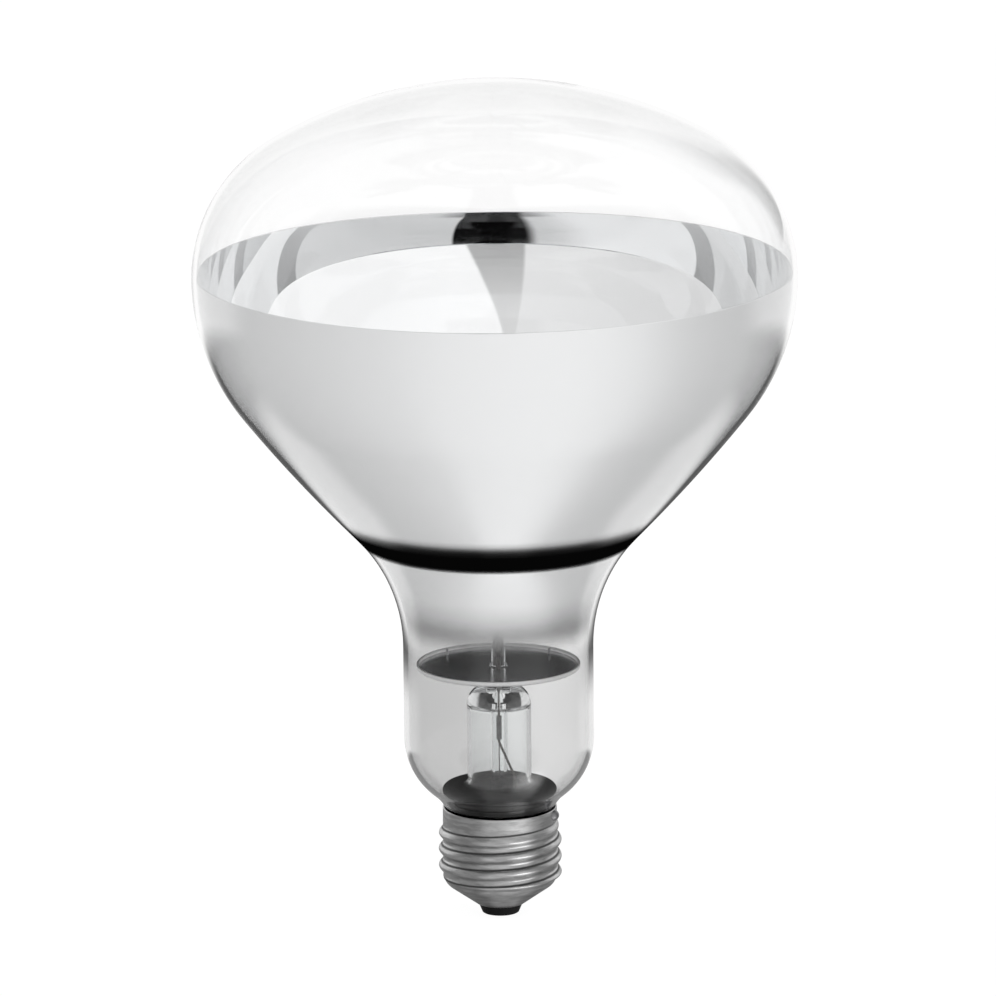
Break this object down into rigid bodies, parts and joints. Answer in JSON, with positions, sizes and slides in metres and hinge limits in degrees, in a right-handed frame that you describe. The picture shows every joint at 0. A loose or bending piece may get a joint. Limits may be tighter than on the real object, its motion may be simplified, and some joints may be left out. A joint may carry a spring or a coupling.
{
  "type": "infrared heat lamp bulb",
  "caption": "Reflector heat lamp: blown glass bulb with mirrored flanks and clear domed face, narrow clear neck, glass stem, ring filament and a large screw cap.",
  "frame": {"origin": "middle of the small flat on the centre contact, on the lamp axis", "axes": "+Z along the lamp axis from the cap to the clear face; +X and +Y across, with the wire over the cap rim at 18 degrees from +X towards -Y"},
  "size_m": [0.127, 0.127, 0.1792],
  "materials": {
    "clear_glass": "clear blown glass, smooth, slightly wavy",
    "mirror_film": "vacuum deposited aluminium mirror behind glass",
    "stem_glass": "clear drawn glass, flame worked",
    "tungsten": "grey coiled wire",
    "nickel_wire": "drawn nickel wire",
    "hook_wire": "drawn molybdenum wire",
    "copper_wire": "dull copper coloured wire",
    "sleeve_metal": "small drawn metal sleeve",
    "shield_metal": "pressed aluminium disc",
    "cap_metal": "rolled aluminium shell, drawn marks, dull in the grooves",
    "black_glass": "moulded black glass",
    "contact_brass": "stamped brass disc",
    "solder": "dull frozen solder",
    "cement": "baked capping cement"
  },
  "bodies": {
    "root": {"glass_bulb": "clear_glass", "mirror_coating": "mirror_film", "stem_flare": "stem_glass", "exhaust_tube": "stem_glass", "support_rod": "stem_glass", "filament": "tungsten", "filament_hook_1": "hook_wire", "filament_hook_2": "hook_wire", "filament_hook_3": "hook_wire", "filament_hook_4": "hook_wire", "filament_hook_5": "hook_wire", "inner_lead_front": "nickel_wire", "inner_lead_back": "nickel_wire", "outer_lead_rim": "copper_wire", "outer_lead_centre": "copper_wire", "lead_splice_sleeve": "sleeve_metal", "heat_shield": "shield_metal", "shield_wire_left": "hook_wire", "shield_wire_right": "hook_wire", "screw_shell": "cap_metal", "cap_insulator": "black_glass", "contact_plate": "contact_brass", "contact_solder": "solder", "rim_solder": "solder", "capping_cement": "cement"}
  },
  "joints": []
}
